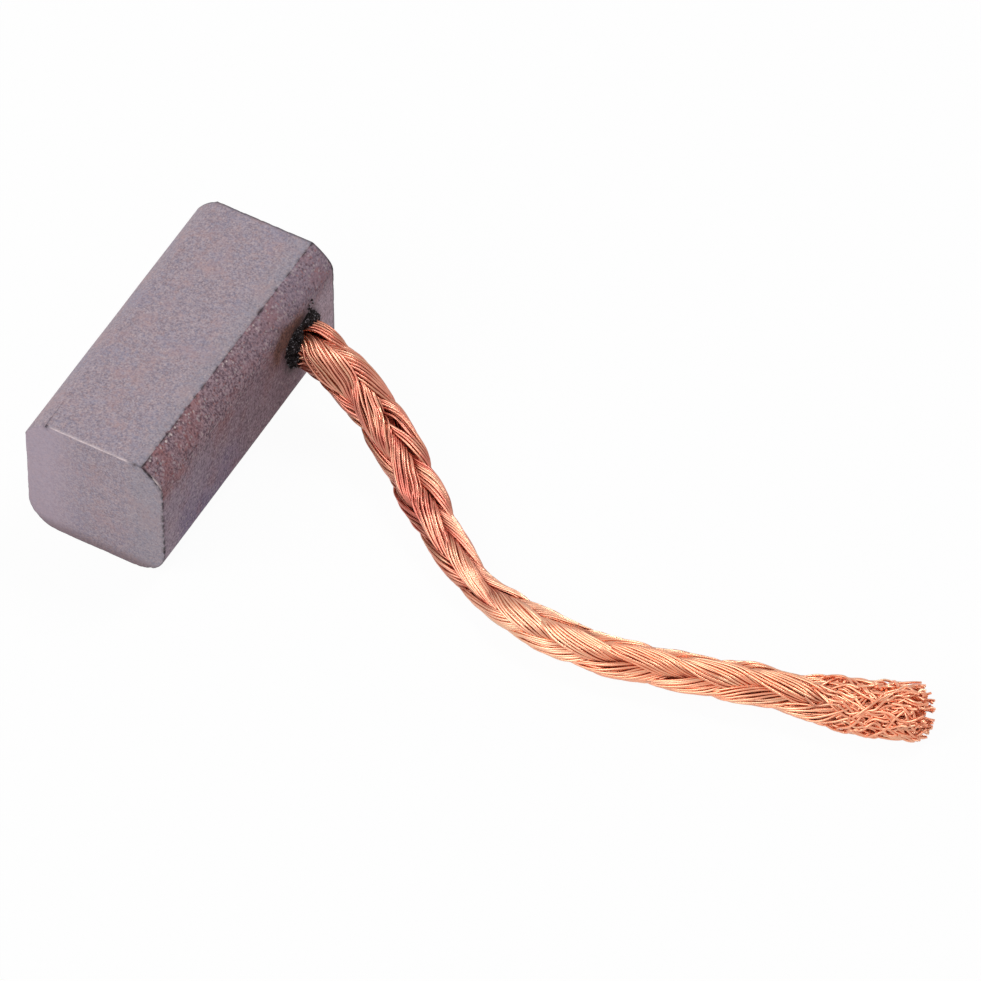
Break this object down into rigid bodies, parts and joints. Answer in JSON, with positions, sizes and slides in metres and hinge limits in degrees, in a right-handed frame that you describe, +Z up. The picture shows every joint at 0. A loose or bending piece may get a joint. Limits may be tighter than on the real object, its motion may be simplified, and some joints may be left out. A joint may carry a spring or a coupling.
{
  "type": "carbon brush",
  "caption": "carbon brush block with chamfered edges and a braided copper lead out of its side",
  "frame": {"origin": "centre of the block's underside, on the surface it lies on", "axes": "+Z up; -Y is the contact end that runs on the commutator, +Y the spring end; +X is the side that the lead leaves through"},
  "size_m": [0.0407, 0.015, 0.007],
  "materials": {
    "block": "pressed and fired copper graphite, ground, matt, with fine speckle",
    "powder": "tamped copper powder",
    "bead": "hardened dark sealing compound, rough and grainy",
    "copper_braid": "bright bare copper wires, braided"
  },
  "bodies": {
    "root": {"brush_block": "block", "tamping_powder": "powder", "seal_bead": "bead", "lead": "copper_braid"}
  },
  "joints": []
}
